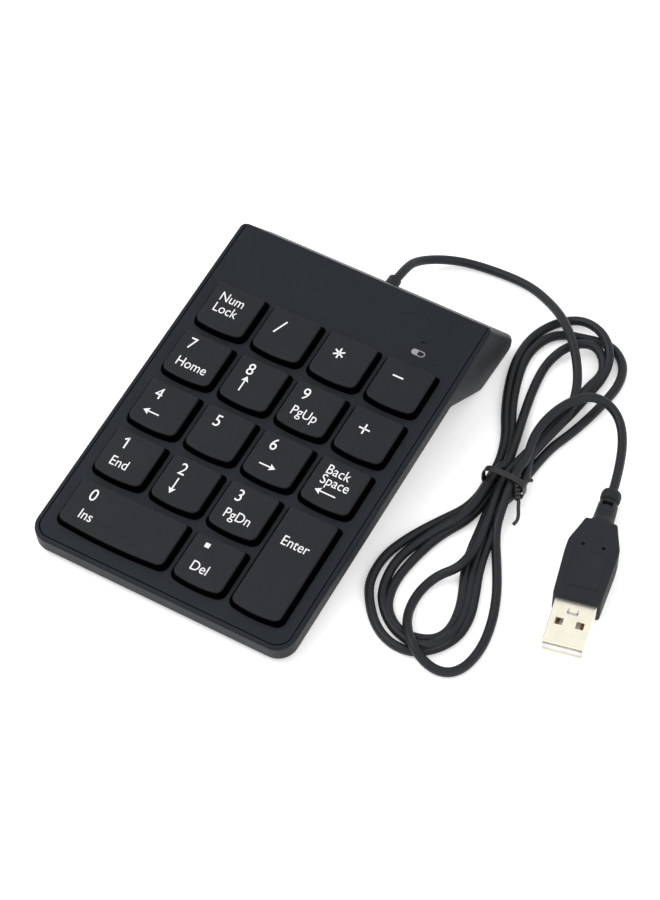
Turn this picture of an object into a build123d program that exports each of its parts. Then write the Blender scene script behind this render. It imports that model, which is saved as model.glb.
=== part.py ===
"""Wired numeric keypad: case, keys on silicone domes, membrane, circuit board, cord and USB plug.

The case is drawn in its own case frame: x across from the centre line, y back from the front
edge, z up from the top panel. `seat` tips that frame back by TILT and stands it on the table, with
the origin under the middle of the case. The cord and the plug are drawn on the table itself.
"""
from build123d import *
from math import cos, pi, radians, sin, tan
import os

# ---------------------------------------------------------------- driving dimensions, mm, degrees
# Key grid and the margins round it, which give the case's width and length
PITCH = 19.0
ROWS = 5
COLUMNS = 4
SIDE_MARGIN = 4.5
FRONT_MARGIN = 5.4
BACK_MARGIN = 20.8

# Case
TILT = 8.0
BACK_LEAN = 31.4         # back wall, away from upright
HUMP_LENGTH = 26.4       # from the panel's back edge to where the hump leaves the slab
HUMP_SLOPE = 41.3
CORNER_R = 6.0           # front corners in plan
LOWER_EDGE_R = 2.0
TOP_EDGE_R = 0.8
HUMP_TOE_R = 3.5
HUMP_HEEL_R = 3.5
HUMP_ROOT_R = 1.5
FLOOR_T = 1.25
HUMP_WALL = 2.0
SIDE_WALL = 2.9
FRONT_WALL = 3.0

# Top cover
PANEL_T = 1.6
RIM_W = 1.4              # visible rim of the bottom case, outside the seam
SEAM = 0.2
SEAM_EDGE_R = 0.2
DECK_T = 0.9             # floor of the wells
DECK_GAP = 1.2           # from the deck down to the membrane
WELL_RIM = 1.6           # wall round the outermost wells
HOLD_DOWN_W = 1.0        # rib that presses the membrane's margin

# Keys
WELL_WEB = (1.36, 1.9)   # panel left between neighbouring wells, across and along
FRONT_BOW = 0.9
KEY_GAP = 0.23           # skirt's lower edge to the well
KEY_RISE = 2.6           # key top above the panel
SKIRT_DROP = 0.8         # skirt below the panel at rest
SIDE_DRAFT = 0.94        # how far the skirt leans in, bottom to top, on each side
BACK_DRAFT = 0.77
FRONT_DRAFT = 0.37
KEY_WALL = 1.1
KEY_TOP_R = 0.45
TRAVEL = 2.2
STOP_GAP = 0.2           # left under every moving face at full travel
STEM = (5.4, 4.4)
STEM_GAP = 0.12
LUG_OUT = 0.45
LUG_H = 0.5
LEDGE_GAP = 0.1
CHIMNEY_WALL = 0.9
POST = 3.0
POST_WALL = 1.2
POST_REACH = 10.5        # guide posts of the two long keys, from the stem

# Domes, membrane
SHEET_T = 0.15
DOME_D = 8.0
DOME_TOP_D = 4.4
DOME_WALL = 0.45
DOME_ROOM = 0.5          # round the dome's foot
SHEET_MARGIN = 2.2       # membrane's edge to the cavity's wall
TAIL_W = 36.0

# Circuit board in the hump
BOARD = (62.0, 16.0, 1.0)
BOARD_IN = 10.2          # board's middle from the panel's back edge
BAR = (46.0, 4.6, 2.0)
BAR_X = -3.5
BAR_IN = 15.2
BAR_SCREW_STEP = 20.5
CHIP = (11.0, 6.0, 1.5)
CHIP_X = -10.0
LEG_PITCH = 1.27
CONNECTOR = (10.0, 4.5, 4.0)
CONNECTOR_X = 9.0
WIRE_PITCH = 2.2
LAMP_X = 26.85
LAMP_IN = 13.5
LAMP_D = 3.0
LAMP_SLOT = (1.3, 0.8)
LAMP_ROOF = 0.6

# Screws
SCREW_D = 1.6
SCREW_HEAD_D = 3.2
SCREW_HEAD_H = 0.9
SCREW_BITE = 2.6         # thread that bites into the cover's boss
BOSS_D = 3.2
TOWER_D = 7.0
REAR_SCREW_X = 34.0
REAR_SCREW_IN = 9.2
SHELF_DROP = 2.0         # head seat of the hump's screws below the slab

# Feet
FOOT_D = 8.0
FOOT_PROUD = 0.8
FOOT_SUNK = 0.4
FOOT_X = 31.0
FRONT_FOOT_Y = 9.5
REAR_FOOT_OUT = 2.8      # rear feet behind the panel's back edge
FRONT_STAND = 0.55       # slab's underside above the table at the very front

# Cord
CORD_D = 2.8
EXIT_X = 2.5
EXIT_DROP = 15.8         # exit on the back wall, below the panel
GROMMET_WALL = 0.7
GROMMET_FLANGE = (4.2, 1.6)
GROMMET_STAND = 2.0      # grommet's nose beyond the wall, along the cord
JACKET_INSIDE = 4.0
WIRE_D = 1.0
PLUG_RUN = 6.5           # straight cord behind the plug

# Plug
PLUG_PLACE = (51.8, -35.5)  # strain relief's bead, in the lay of the cord
PLUG_HEADING = -77.5
GRIP_T = 8.4
SHELL = (12.0, 4.5)
SHELL_T = 0.3
SHELL_OUT = 15.2
SHELL_IN = 3.0
GRIP_END = 40.2          # from the strain relief's bead
TONGUE_T = 1.84
WINDOW = (7.6, 3.0, 2.4, 2.3)    # from the grip, off the axis, length, width
BEAD_BACK = 2.4
BEAD_D = 6.0
NECK_D = 4.9
NECK_WAIST_D = 4.0
SHOULDER = (9.2, 8.4)    # station and width
WIDEST = (19.6, 15.3)
END_W = 13.8

# Hank
HANK_H = 5.6
WAIST_H = 8.2
TIE_T = 0.5
TIE_W = 2.4
TIE_AT = 0.42            # share of the waist's depth

# Lay of the cord on the table, as points from the case's side and the cord's exit
DROP_IN = [(0.0, 7.0, 0.0), (0.5, 16.4, -4.4), (8.9, 24.6, -7.6)]
LEAD_IN = [(-19.1, 27.2, 1.6), (-6.5, 26.6, 2.4), (2.9, 21.4, 5.0), (10.5, 15.6, 7.2),
           (17.9, 8.0, 7.0), (23.5, -0.4, 5.4), (26.3, -8.0, 4.4)]
LEAD_OUT = [(22.1, -27.0, 4.6), (22.7, -19.0, 7.2), (25.7, -10.8, 8.2), (32.3, -5.1, 8.0),
            (40.7, -6.0, 5.8), (46.5, -14.0, 4.6)]
HANK_OUTER = [(15.1, -42.0), (11.5, -29.0), (6.1, -16.0), (2.4, -4.0), (2.2, 7.5), (7.0, 18.5),
              (16.0, 23.0), (26.0, 20.2), (33.5, 13.0), (35.3, 3.5), (32.9, -7.5), (30.1, -20.0),
              (29.7, -32.0), (31.1, -43.0), (29.3, -52.0), (33.7, -65.0), (40.3, -78.0),
              (44.9, -91.0), (44.5, -104.5), (37.0, -113.0), (26.0, -111.8), (15.0, -109.0),
              (6.1, -100.0), (2.8, -87.0), (5.7, -73.0), (10.5, -60.5), (14.7, -51.0)]
UPPER_EYE = [(17.9, -21.0), (14.9, -12.0), (13.5, -2.0), (15.5, 8.5), (21.5, 12.6), (26.1, 6.5),
             (25.3, -4.0), (21.9, -14.0)]
LOWER_EYE = [(20.9, -69.0), (14.9, -79.0), (11.9, -89.5), (15.9, -99.0), (24.5, -101.6),
             (30.9, -95.0), (29.5, -83.0), (25.1, -72.0)]
WAIST = (15.9, -50.5, 14.6, 17.0)    # left edge, front edge, width, depth

# ---------------------------------------------------------------- worked-out levels
CASE_W = COLUMNS * PITCH + 2 * SIDE_MARGIN
PANEL_L = FRONT_MARGIN + ROWS * PITCH + BACK_MARGIN
HUMP_START = PANEL_L - HUMP_LENGTH
FRONT_ROW_Y = FRONT_MARGIN + PITCH / 2

WELL_W = PITCH - WELL_WEB[0]
WELL_HALF = (PITCH - WELL_WEB[1] - FRONT_BOW) / 2
WELL_DEPTH = SKIRT_DROP + TRAVEL + STOP_GAP
DECK_UNDER = -(WELL_DEPTH + DECK_T)
SHEET_TOP = DECK_UNDER - DECK_GAP
FLOOR_Z = SHEET_TOP - 3 * SHEET_T
SLAB_T = FLOOR_T - FLOOR_Z

KEY_UNDER = KEY_RISE - KEY_WALL
STEM_FOOT = SHEET_TOP + TRAVEL + STOP_GAP
LEDGE_Z = STEM_FOOT + LUG_H + LEDGE_GAP
CHIMNEY_TOP = KEY_UNDER - TRAVEL - STOP_GAP
DOME_POCKET_D = DOME_D + 2 * DOME_ROOM
CHIMNEY_D = DOME_POCKET_D + 2 * CHIMNEY_WALL

CAVITY_X = CASE_W / 2 - SIDE_WALL
PANEL_X = CASE_W / 2 - RIM_W - SEAM / 2
BLOCK_X = (COLUMNS - 1) / 2 * PITCH + WELL_W / 2 + WELL_RIM
BLOCK_FRONT = FRONT_ROW_Y - WELL_HALF - FRONT_BOW - WELL_RIM
BLOCK_BACK = FRONT_ROW_Y + (ROWS - 1) * PITCH + WELL_HALF + WELL_RIM

BOARD_Y = PANEL_L - BOARD_IN
BOARD_TOP = FLOOR_Z
BOARD_UNDER = BOARD_TOP - BOARD[2]
BAR_Y = PANEL_L - BAR_IN
BAR_UNDER = BOARD_TOP + SHEET_T
BAR_SCREWS = [BAR_X + n * BAR_SCREW_STEP for n in (-1, 0, 1)]
CHIP_PLACE = (CHIP_X, BOARD_Y + 2.0)
CONNECTOR_PLACE = (CONNECTOR_X, BOARD_Y + 1.5)
LAMP_PLACE = (LAMP_X, PANEL_L - LAMP_IN)

HEAD_SEAT = FLOOR_Z - 0.15
BOSS_MEET = FLOOR_Z + 0.75
SHELF = -SLAB_T - SHELF_DROP
REAR_MEET = SHELF + 1.6
REAR_SCREW = (REAR_SCREW_X, PANEL_L - REAR_SCREW_IN)
FRONT_FOOT = (FOOT_X, FRONT_FOOT_Y)
REAR_FOOT = (FOOT_X, PANEL_L + REAR_FOOT_OUT)
GROMMET_D = CORD_D + 2 * GROMMET_WALL
FLANGE_D = CORD_D + GROMMET_FLANGE[0]

TONGUE_START = GRIP_END - SHELL_IN

AHEAD = (Align.MIN, Align.CENTER, Align.CENTER)
LOW = (Align.CENTER, Align.CENTER, Align.MIN)
HIGH = (Align.CENTER, Align.CENTER, Align.MAX)


def table_z(y):
    """Height of the table under the case, in the case frame."""
    return -(SLAB_T + FRONT_STAND) - y * tan(radians(TILT))


def seat(shape):
    """Tip a piece from the case frame back onto the table."""
    return Pos(0, Y_SHIFT, Z_SHIFT) * Rot(TILT, 0, 0) * shape


def bar(x_size, y_size, low, high, x=0.0, y=0.0):
    """Upright box between two levels."""
    return Pos(x, y, low) * Box(x_size, y_size, high - low, align=LOW)


def rod(diameter, low, high, x=0.0, y=0.0):
    """Upright cylinder between two levels."""
    return Pos(x, y, low) * Cylinder(diameter / 2, high - low, align=LOW)


# ---------------------------------------------------------------- case
def side_profile(front, floor_z, roof_z, inset):
    """Side view of the case, or of its cavity when the walls are inset."""
    lean = tan(radians(BACK_LEAN))
    fall = tan(radians(TILT))
    rake = tan(radians(HUMP_SLOPE))
    under = table_z(0) + (FOOT_PROUD + inset) / cos(radians(TILT))
    back = PANEL_L - inset / cos(radians(BACK_LEAN))
    drop = (under - fall * back) / (1 - fall * lean)
    heel = (back - drop * lean, drop)
    root_y = HUMP_START + inset / sin(radians(HUMP_SLOPE)) - (floor_z + SLAB_T) / rake
    toe_y = (floor_z + rake * root_y - under) / (rake - fall)
    toe = (toe_y, under - fall * toe_y)
    roof = (back - roof_z * lean, roof_z)
    points = [(front, roof_z), roof, heel, toe, (root_y, floor_z), (front, floor_z)]
    face = make_face(Polyline(*points, close=True))
    rounds = ((heel, HUMP_HEEL_R - inset / 2), (toe, HUMP_TOE_R - inset / 2),
              ((root_y, floor_z), HUMP_ROOT_R))
    for corner, radius in rounds:
        spot = face.vertices().sort_by_distance(Vector(*corner, 0))[0]
        face = fillet(spot, radius)
    return Plane.YZ * face


def case_block():
    """The closed outer form that the cover and the case share."""
    block = extrude(side_profile(0, -SLAB_T, 0, 0), CASE_W / 2, both=True)
    nose = block.edges().filter_by(Axis.Z)
    block = fillet(nose, CORNER_R)
    top = block.faces().filter_by(Plane.XY).sort_by(Axis.Z)[-1]
    upper = top.edges()
    back = block.edges().filter_by(Axis.X).filter_by(lambda e: e.center().Y > HUMP_START)
    front_wall = block.edges().filter_by(Axis.Z)
    kept = [e.center() for e in list(upper) + list(back) + list(front_wall)]
    inner = block.edges().filter_by(Axis.X).filter_by(lambda e: e.center().Y > CORNER_R)
    kept += [e.center() for e in inner]
    lower = [e for e in block.edges() if min((e.center() - k).length for k in kept) > 0.01]
    block = fillet(lower, LOWER_EDGE_R)
    top = block.faces().filter_by(Plane.XY).sort_by(Axis.Z)[-1]
    return fillet(top.edges(), TOP_EDGE_R)


def panel_prism(half_width, front, low):
    """Plan of the inset panel, open at the back."""
    length = PANEL_L + 40 - front
    plan = Pos(0, front + length / 2) * Rectangle(2 * half_width, length)
    plan = fillet(plan.vertices().group_by(Axis.Y)[0], CORNER_R - RIM_W)
    return Pos(0, 0, low) * extrude(plan, 5 - low)


def screw_places():
    """Case screws: four between the keys, two in the hump."""
    grid = [(x * PITCH, FRONT_ROW_Y + (row + 0.5) * PITCH) for x in (-1, 1) for row in (1, 3)]
    return grid, [(x * REAR_SCREW[0], REAR_SCREW[1]) for x in (-1, 1)]


def bottom_case(block):
    cavity = extrude(side_profile(FRONT_WALL, FLOOR_Z, 1, HUMP_WALL), CAVITY_X, both=True)
    case = block - panel_prism(PANEL_X + SEAM / 2, RIM_W, -PANEL_T) - cavity
    grid, rear = screw_places()
    towers = [rod(BOSS_D + 1, -SLAB_T + 0.4, BOSS_MEET, x, y) for x, y in grid]
    towers += [block & rod(TOWER_D, -40, REAR_MEET, x, y) for x, y in rear]
    case += towers
    for x, y in grid:
        case -= rod(SCREW_HEAD_D + 0.4, -SLAB_T - 1, HEAD_SEAT, x, y)
        case -= rod(SCREW_D + 0.3, -SLAB_T, 0, x, y)
    for x, y in rear:
        case -= rod(SCREW_HEAD_D + 0.6, -40, SHELF, x, y)
        case -= rod(SCREW_D + 0.3, -40, 0, x, y)
    for x in (-1, 1):
        case -= foot_pad(x * REAR_FOOT[0], REAR_FOOT[1], True)
    rim = case.faces().filter_by(Plane.XY).sort_by(Axis.Z)[-1]
    case = fillet(rim.edges(), SEAM_EDGE_R)
    return case - cord_way(GROMMET_D, FLANGE_BACK, 10) - grommet_seat()


def foot_pad(x, y, rear):
    """Round pad whose sole lies on the table."""
    sole = Pos(x, y, table_z(y)) * Rot(-TILT, 0, 0)
    if rear:
        return sole * Cylinder(FOOT_D / 2, FOOT_PROUD + FOOT_SUNK, align=LOW)
    pad = rod(FOOT_D, table_z(y) - 3, -SLAB_T, x, y)
    return pad - sole * Box(3 * FOOT_D, 3 * FOOT_D, 20, align=HIGH)


def rubber_feet():
    pads = [foot_pad(x * FRONT_FOOT[0], FRONT_FOOT[1], False) for x in (-1, 1)]
    pads += [foot_pad(x * REAR_FOOT[0], REAR_FOOT[1], True) for x in (-1, 1)]
    return Compound(children=pads)


# ---------------------------------------------------------------- keys
def key_plan(width, back, front, bow, back_r, front_r):
    """Key or well outline: square at the back, bowed at the front."""
    half = width / 2
    sides = Polyline((half, -front), (half, back), (-half, back), (-half, -front))
    nose = ThreePointArc((-half, -front), (0, -front - bow), (half, -front))
    plan = make_face(sides + nose)
    rows = plan.vertices().group_by(Axis.Y)
    plan = fillet(rows[0], front_r)
    return fillet(plan.vertices().group_by(Axis.Y)[-1], back_r)


def key_cells():
    """Name, column, row from the front, extra columns and extra rows of every key."""
    rows = (("key_0", None, "key_decimal", "key_enter"),
            ("key_1", "key_2", "key_3", None),
            ("key_4", "key_5", "key_6", "key_backspace"),
            ("key_7", "key_8", "key_9", "key_plus"),
            ("key_num_lock", "key_divide", "key_multiply", "key_minus"))
    cells = []
    for row, names in enumerate(rows):
        for column, name in enumerate(names):
            if name:
                wide = 1 if name == "key_0" else 0
                tall = 1 if name == "key_enter" else 0
                cells.append((name, column, row, wide, tall))
    return cells


def cell_place(column, row, wide, tall):
    """Centre of a key, in the case frame."""
    x = (column - (COLUMNS - 1) / 2 + wide / 2) * PITCH
    return x, FRONT_ROW_Y + (row + tall / 2) * PITCH


def guide_offsets(wide, tall):
    """Guide posts beside the stem, on the long keys only."""
    return [(side * wide * POST_REACH, side * tall * POST_REACH) for side in (-1, 1) if wide or tall]


def well(wide, tall):
    """Opening for one key, from above the panel to the deck."""
    half = WELL_HALF + tall * PITCH / 2
    plan = key_plan(WELL_W + wide * PITCH, half, half, FRONT_BOW, 1.2, 2.6)
    return Pos(0, 0, -WELL_DEPTH) * extrude(plan, WELL_DEPTH + 1)


def keycap(wide, tall):
    """Hollow cap with a snap stem, and guide posts if it is long."""
    base_w = WELL_W - 2 * KEY_GAP + wide * PITCH
    half = WELL_HALF - KEY_GAP + tall * PITCH / 2
    base = key_plan(base_w, half, half, FRONT_BOW, 1.0, 2.4)
    top = key_plan(base_w - 2 * SIDE_DRAFT, half - BACK_DRAFT, half - FRONT_DRAFT,
                   FRONT_BOW, 0.9, 2.2)
    cap = loft([Pos(0, 0, -SKIRT_DROP) * base, Pos(0, 0, KEY_RISE) * top], ruled=True)
    cap = fillet(cap.faces().sort_by(Axis.Z)[-1].edges(), KEY_TOP_R)
    hollow = key_plan(base_w - 2 * (SIDE_DRAFT + KEY_WALL), half - BACK_DRAFT - KEY_WALL,
                      half - FRONT_DRAFT - KEY_WALL, FRONT_BOW, 0.6, 1.4)
    cap -= Pos(0, 0, -SKIRT_DROP) * extrude(hollow, SKIRT_DROP + KEY_UNDER)
    stem = bar(STEM[0], STEM[1], STEM_FOOT, KEY_UNDER + 0.2)
    stem += bar(STEM[0] + 2 * LUG_OUT, STEM[1] * 0.6, STEM_FOOT, STEM_FOOT + LUG_H)
    stem -= bar(1.0, STEM[1] + 1, STEM_FOOT, STEM_FOOT + 2.6)
    cap += stem
    for x, y in guide_offsets(wide, tall):
        cap += bar(POST, POST, STEM_FOOT, KEY_UNDER + 0.2, x, y)
    return cap


def top_cover(block):
    grid, rear = screw_places()
    panel = block & panel_prism(PANEL_X - SEAM / 2, RIM_W + SEAM, -PANEL_T)
    depth = BLOCK_BACK - BLOCK_FRONT
    wells = bar(2 * BLOCK_X, depth, DECK_UNDER, -PANEL_T / 2, 0, BLOCK_FRONT + depth / 2)
    rib = bar(2 * BLOCK_X, depth, SHEET_TOP, DECK_UNDER, 0, BLOCK_FRONT + depth / 2)
    rib -= bar(2 * (BLOCK_X - HOLD_DOWN_W), depth - 2 * HOLD_DOWN_W, SHEET_TOP, DECK_UNDER, 0,
               BLOCK_FRONT + depth / 2)
    cover = panel + wells + rib
    cover -= [Pos(*cell_place(c, r, w, t), 0) * well(w, t) for _, c, r, w, t in key_cells()]
    chimneys = []
    bores = []
    for _, column, row, wide, tall in key_cells():
        x, y = cell_place(column, row, wide, tall)
        chimneys.append(rod(CHIMNEY_D, -WELL_DEPTH, CHIMNEY_TOP, x, y))
        bores.append(bar(STEM[0] + 2 * STEM_GAP, STEM[1] + 2 * STEM_GAP, DECK_UNDER, 0, x, y))
        bores.append(rod(DOME_POCKET_D, DECK_UNDER, LEDGE_Z, x, y))
        for dx, dy in guide_offsets(wide, tall):
            outer = POST + 2 * (STEM_GAP + POST_WALL)
            chimneys.append(bar(outer, outer, -WELL_DEPTH, CHIMNEY_TOP, x + dx, y + dy))
            inner = POST + 2 * STEM_GAP
            bores.append(bar(inner, inner, DECK_UNDER, 0, x + dx, y + dy))
    cover += chimneys
    cover -= bores
    cover += [rod(BOSS_D, BOSS_MEET, DECK_UNDER, x, y) for x, y in grid]
    cover += [rod(BOSS_D + 1.2, REAR_MEET, -PANEL_T, x, y) for x, y in rear]
    bar_top = BAR_UNDER + BAR[2]
    cover += [rod(BOSS_D + 0.8, bar_top, -PANEL_T, x, BAR_Y) for x in BAR_SCREWS]
    thread = SCREW_D + 0.02
    for x, y in grid:
        cover -= rod(thread, BOSS_MEET, BOSS_MEET + SCREW_BITE, x, y)
    for x, y in rear:
        cover -= rod(thread, REAR_MEET, REAR_MEET + SCREW_BITE, x, y)
    for x in BAR_SCREWS:
        cover -= rod(thread, bar_top, -PANEL_T + 0.6, x, BAR_Y)
    cover -= rod(LAMP_D + 0.3, -PANEL_T, -LAMP_ROOF, *LAMP_PLACE)
    top = cover.faces().filter_by(Plane.XY).sort_by(Axis.Z)[-1]
    cover = fillet(top.edges(), SEAM_EDGE_R)
    return cover - bar(*LAMP_SLOT, -PANEL_T, 1, *LAMP_PLACE)


def case_screws():
    """Six screws driven up from below."""
    grid, rear = screw_places()
    screws = []
    for places, seat_z, meet_z in ((grid, HEAD_SEAT, BOSS_MEET), (rear, SHELF, REAR_MEET)):
        for x, y in places:
            head = rod(SCREW_HEAD_D, seat_z - SCREW_HEAD_H, seat_z, x, y)
            slot = bar(SCREW_HEAD_D - 1, 0.5, seat_z - SCREW_HEAD_H, seat_z - 0.45, x, y)
            cross = bar(0.5, SCREW_HEAD_D - 1, seat_z - SCREW_HEAD_H, seat_z - 0.45, x, y)
            shank = rod(SCREW_D, seat_z, meet_z + SCREW_BITE - 0.2, x, y)
            screws.append(head + shank - slot - cross)
    return Compound(children=screws)


# ---------------------------------------------------------------- domes, membrane, board
def dome():
    """Silicone dome with a hollow bell and a flat crown."""
    height = STEM_FOOT - SHEET_TOP
    rim = DOME_D / 2
    crown = DOME_TOP_D / 2
    hollow_r = crown - DOME_WALL
    outline = Polyline((rim, 0), (rim, 0.4), (rim - 0.7, 0.6), (crown + 0.2, height - 0.3),
                       (crown, height), (0, height), (0, height - 0.7), (hollow_r, height - 0.7),
                       (rim - 0.7 - DOME_WALL, 0.3), (rim - 0.9 - DOME_WALL, 0), close=True)
    return Pos(0, 0, SHEET_TOP) * revolve(Plane.XZ * make_face(outline), Axis.Z)


def membrane_sheet(level, tail):
    """One printed sheet of the membrane, cleared round the screw bosses."""
    front = FRONT_WALL + SHEET_MARGIN
    depth = BLOCK_BACK - front
    width = 2 * (CAVITY_X - SHEET_MARGIN)
    sheet = bar(width, depth, level, level + SHEET_T, 0, front + depth / 2)
    if tail:
        reach = BAR_Y + BAR[1] / 2 - BLOCK_BACK
        sheet += bar(TAIL_W, reach, level, level + SHEET_T, BAR_X, BLOCK_BACK + reach / 2)
        sheet -= rod(SCREW_D + 0.8, level - 1, level + 1, BAR_X, BAR_Y)
    grid, _ = screw_places()
    for x, y in grid:
        sheet -= rod(BOSS_D + 1.6, level - 1, level + 1, x, y)
    return sheet


def circuit_board():
    board = bar(BOARD[0], BOARD[1], BOARD_TOP - BOARD[2], BOARD_TOP, 0, BOARD_Y)
    for x in BAR_SCREWS:
        board -= rod(SCREW_D + 0.3, -20, 0, x, BAR_Y)
    return board


def clamp_bar():
    low = BAR_UNDER
    body = bar(BAR[0], BAR[1], low, low + BAR[2], BAR_X, BAR_Y)
    for x in BAR_SCREWS:
        body -= rod(SCREW_D + 0.3, -20, 0, x, BAR_Y)
    return body


def board_screws():
    """Three screws that pull the bar down on the membrane's tail."""
    seat_z = BOARD_TOP - BOARD[2]
    screws = []
    for x in BAR_SCREWS:
        shank = rod(SCREW_D, seat_z, BAR_UNDER + BAR[2] + 1.0, x, BAR_Y)
        screws.append(shank + rod(SCREW_HEAD_D, seat_z - SCREW_HEAD_H, seat_z, x, BAR_Y))
    return Compound(children=screws)


def controller_chip():
    """Chip with its two rows of legs."""
    body = bar(*CHIP[:2], BOARD_UNDER - CHIP[2], BOARD_UNDER - 0.2, *CHIP_PLACE)
    for side in (-1, 1):
        for n in range(8):
            leg_x = CHIP_X + (n - 3.5) * LEG_PITCH
            leg_y = CHIP_PLACE[1] + side * (CHIP[1] / 2 + 0.4)
            body += bar(0.5, 0.9, BOARD_UNDER - 0.3, BOARD_UNDER, leg_x, leg_y)
            body += bar(0.5, 0.3, BOARD_UNDER - 0.9, BOARD_UNDER, leg_x, leg_y - side * 0.3)
    return body


def board_components():
    """Crystal, capacitors and resistors under the board."""
    back_row = BOARD_Y + 3.0
    crystal = bar(8.0, 3.4, BOARD_UNDER - 3.2, BOARD_UNDER, -25.0, back_row)
    crystal = fillet(crystal.edges().filter_by(Axis.Z), 1.5)
    parts = [crystal, rod(4.0, BOARD_UNDER - 5.0, BOARD_UNDER, 21.0, back_row)]
    for n in range(4):
        parts.append(bar(2.0, 1.2, BOARD_UNDER - 0.7, BOARD_UNDER, 1.5 + 4.0 * n, BOARD_Y - 3.5))
    return Compound(children=parts)


def indicator_lamp():
    """Round lamp that stands on the board under the panel's slot."""
    lamp = rod(LAMP_D, BOARD_TOP, -LAMP_ROOF - 0.15, *LAMP_PLACE)
    return fillet(lamp.faces().sort_by(Axis.Z)[-1].edges(), 0.9) + rod(
        LAMP_D + 0.6, BOARD_TOP, BOARD_TOP + 0.9, *LAMP_PLACE)


# ---------------------------------------------------------------- cord exit
def cord_way(diameter, start, end):
    """Round bar along the cord's exit, level with the table; 0 is the wall's outer face."""
    wall_y = PANEL_L + EXIT_DROP * tan(radians(BACK_LEAN))
    way = Pos(EXIT_X, wall_y, -EXIT_DROP) * Rot(-TILT - 90, 0, 0)
    return way * Pos(0, 0, start) * Cylinder(diameter / 2, end - start, align=LOW)


WALL_RUN = HUMP_WALL / cos(radians(BACK_LEAN + TILT))
FLANGE_BACK = -WALL_RUN - FLANGE_D / 2 * tan(radians(BACK_LEAN + TILT))


def grommet_seat():
    """Spot face that lets the flange sit square inside the leaning wall."""
    return cord_way(FLANGE_D + 0.3, FLANGE_BACK - 4, FLANGE_BACK + GROMMET_FLANGE[1])


def cable_grommet():
    body = cord_way(GROMMET_D, FLANGE_BACK, GROMMET_STAND)
    body += cord_way(FLANGE_D, FLANGE_BACK, FLANGE_BACK + GROMMET_FLANGE[1])
    return body - cord_way(CORD_D, FLANGE_BACK - 1, GROMMET_STAND + 1)


def wire_connector():
    """Socket under the board, with four wire mouths."""
    body = bar(*CONNECTOR[:2], BOARD_UNDER - CONNECTOR[2], BOARD_UNDER, *CONNECTOR_PLACE)
    for n in range(4):
        x = CONNECTOR_PLACE[0] + (n - 1.5) * WIRE_PITCH
        body -= rod(WIRE_D, BOARD_UNDER - CONNECTOR[2], BOARD_UNDER - 1.5, x, CONNECTOR_PLACE[1])
    return body


def lead_wires():
    """Four wires from the end of the jacket up into the connector."""
    way = cord_way(CORD_D, FLANGE_BACK - JACKET_INSIDE - 0.02, 0)
    end = way.faces().sort_by(Axis.Y)[0].center()
    wires = []
    for n in range(4):
        x = CONNECTOR_PLACE[0] + (n - 1.5) * WIRE_PITCH
        side = 0.56 if n % 2 else -0.56
        rise = 0.56 if n > 1 else -0.56
        start = (end.X + side, end.Y + rise * sin(radians(TILT)),
                 end.Z + rise * cos(radians(TILT)))
        elbow = (start[0], start[1] - 2.4 * cos(radians(TILT)), start[2] + 2.4 * sin(radians(TILT)))
        turn = (x, CONNECTOR_PLACE[1], BOARD_UNDER - CONNECTOR[2] - 2.6)
        finish = (x, CONNECTOR_PLACE[1], BOARD_UNDER - 1.5)
        path = FilletPolyline(start, elbow, turn, finish, radius=1.0)
        section = Plane(origin=start, z_dir=path % 0) * Circle(WIRE_D / 2)
        wires.append(sweep(section, path=path))
    return Compound(children=wires)


# ---------------------------------------------------------------- cord on the table
def cord_tube(points, name):
    """Straight runs joined by arcs as large as the runs allow."""
    vectors = [Vector(*p) for p in points]
    radii = []
    for before, corner, after in zip(vectors, vectors[1:], vectors[2:]):
        inward = corner - before
        onward = after - corner
        half_turn = radians(inward.get_angle(onward)) / 2
        radii.append(0.45 * min(inward.length, onward.length) / tan(half_turn))
    path = FilletPolyline(*points, radius=radii)
    section = Plane(origin=points[0], z_dir=path % 0) * Circle(CORD_D / 2)
    tube = sweep(section, path=path)
    share = tube.volume / (pi * CORD_D ** 2 / 4 * path.length)
    print(name, "length", round(path.length, 1), "volume share", round(share, 4),
          "radii", [round(r, 1) for r in radii])
    return tube


def laid():
    """Origin of the cord's lay: beside the case, level with the exit, on the table."""
    wall = seat(cord_way(CORD_D, -1, 0)).faces().sort_by(Axis.Y)[-1].center()
    return Pos(CASE_W / 2, wall.Y, 0)


def lead_in():
    """Cord from inside the back wall to the hank."""
    way = seat(cord_way(CORD_D, FLANGE_BACK - JACKET_INSIDE, 0))
    start = way.faces().sort_by(Axis.Y)[0].center()
    wall = way.faces().sort_by(Axis.Y)[-1].center()
    off_wall = [wall + Vector(*step) for step in DROP_IN]
    beside = [(laid() * Pos(*point)).position for point in LEAD_IN]
    return cord_tube([tuple(point) for point in [start] + off_wall + beside], "lead in")


def plug_frame():
    """Frame on the plug's axis: x towards the tip, from the strain relief's bead."""
    return laid() * Pos(*PLUG_PLACE, GRIP_T / 2) * Rot(0, 0, PLUG_HEADING)


def lead_out():
    """Cord from the hank over its neighbours to the plug."""
    spots = [laid() * Pos(*point) for point in LEAD_OUT]
    spots += [plug_frame() * Pos(-BEAD_BACK - reach, 0, 0) for reach in (PLUG_RUN, 0)]
    return cord_tube([tuple(spot.position) for spot in spots], "lead out")


def cord_hank():
    """Outer form of the folded cord: two open lobes and a tied waist."""
    outer = make_face(Spline(*HANK_OUTER, periodic=True))
    outer -= make_face(Spline(*UPPER_EYE, periodic=True))
    outer -= make_face(Spline(*LOWER_EYE, periodic=True))
    hank = extrude(outer, HANK_H)
    left, front, width, depth = WAIST
    waist = Pos(left + width / 2, front + depth / 2, WAIST_H / 2) * Box(width, depth, WAIST_H)
    waist = fillet(waist.edges().filter_by(Axis.Y), 2.5)
    ring = tie_band(0.02)
    return laid() * (hank + waist) - ring


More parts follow.
